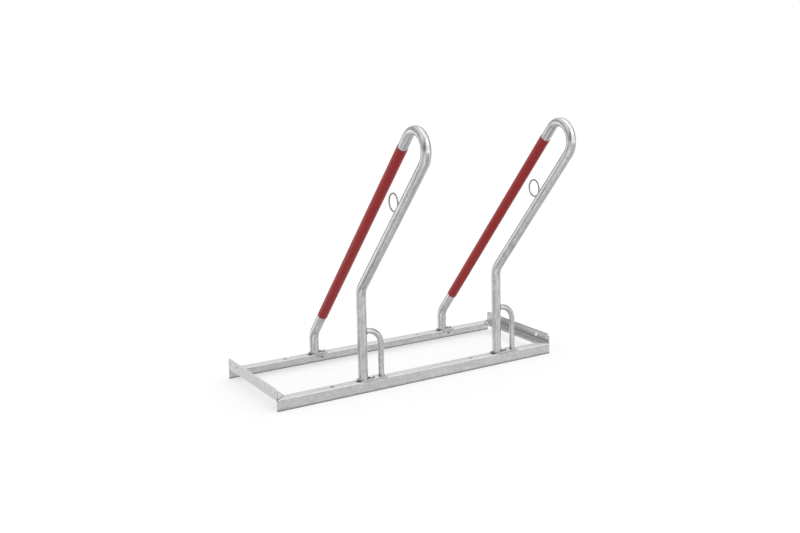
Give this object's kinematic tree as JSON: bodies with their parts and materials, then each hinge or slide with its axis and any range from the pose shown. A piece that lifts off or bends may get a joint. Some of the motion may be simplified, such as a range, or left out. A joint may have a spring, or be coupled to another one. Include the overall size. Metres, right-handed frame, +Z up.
{
  "type": "bike parking stand",
  "caption": "Low angle-steel floor frame with leaning round-tube hoops, each with a red hose, a lock ring and a small arch that steadies the front wheel.",
  "frame": {"origin": "on the floor, at the middle of the front rail's foot, half way between the two ends", "axes": "+X along the rails to the right as seen from the front, where the bicycles come in; +Y from the front rail to the rear rail; +Z up"},
  "size_m": [1.1, 0.8959, 0.9505],
  "materials": {
    "galvanised_steel": "hot-dip galvanised, mottled matt grey",
    "red_hose": "satin soft plastic hose, dark red",
    "zinc_fasteners": "zinc plated, slightly brighter than the frame"
  },
  "bodies": {
    "root": {"front_rail": "galvanised_steel", "rear_rail": "galvanised_steel", "left_end_angle": "galvanised_steel", "right_end_angle": "galvanised_steel", "hoop_tube_1": "galvanised_steel", "hoop_tube_2": "galvanised_steel", "red_hose_1": "red_hose", "red_hose_2": "red_hose", "lock_ring_1": "galvanised_steel", "lock_ring_2": "galvanised_steel", "wheel_bow_1": "galvanised_steel", "wheel_bow_2": "galvanised_steel", "front_foot_plate_1": "galvanised_steel", "front_foot_plate_2": "galvanised_steel", "rear_foot_plate_1": "galvanised_steel", "rear_foot_plate_2": "galvanised_steel", "front_bolt_1": "zinc_fasteners", "front_bolt_2": "zinc_fasteners", "rear_bolt_1": "zinc_fasteners", "rear_bolt_2": "zinc_fasteners", "front_washer_1": "zinc_fasteners", "front_washer_2": "zinc_fasteners", "rear_washer_1": "zinc_fasteners", "rear_washer_2": "zinc_fasteners", "front_nut_1": "zinc_fasteners", "front_nut_2": "zinc_fasteners", "rear_nut_1": "zinc_fasteners", "rear_nut_2": "zinc_fasteners"}
  },
  "joints": []
}
